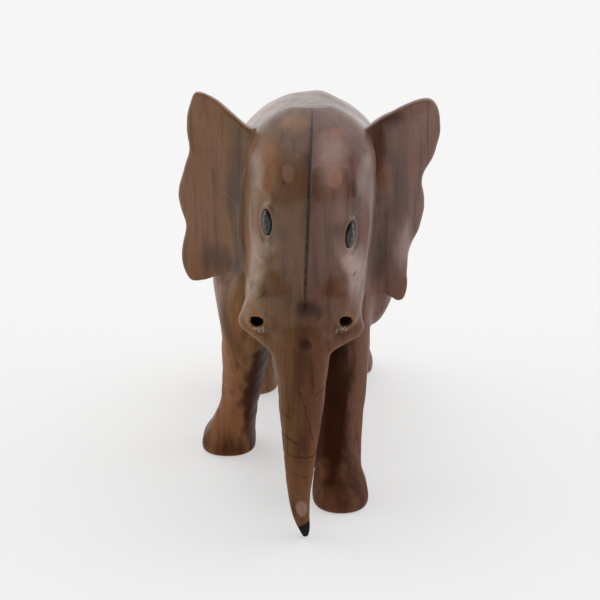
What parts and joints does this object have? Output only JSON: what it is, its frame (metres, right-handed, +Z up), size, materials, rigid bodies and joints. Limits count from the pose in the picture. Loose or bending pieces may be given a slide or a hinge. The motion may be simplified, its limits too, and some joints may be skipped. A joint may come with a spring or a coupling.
{
  "type": "carved wooden elephant figurine",
  "caption": "Walking elephant carved from one block of striped hardwood, trunk hanging to the floor, spread ears, inlaid dark eyes and empty drilled tusk sockets.",
  "frame": {"origin": "middle of the overall box, on the floor under the feet", "axes": "+Z up, the elephant faces -Y, its left side is +X"},
  "size_m": [0.0978, 0.1768, 0.155],
  "materials": {
    "striped_hardwood": "oiled and wax polished, satin, red-brown heartwood with a yellow-brown sapwood side",
    "dark_horn": "polished dark horn inlay",
    "pupil_glass": "glossy black bead",
    "old_glue": "hard, brown, crazed hide glue"
  },
  "bodies": {
    "root": {"carved_body": "striped_hardwood", "right_eye": "dark_horn", "left_eye": "dark_horn", "right_pupil": "pupil_glass", "left_pupil": "pupil_glass", "right_socket_glue": "old_glue", "left_socket_glue": "old_glue"}
  },
  "joints": []
}
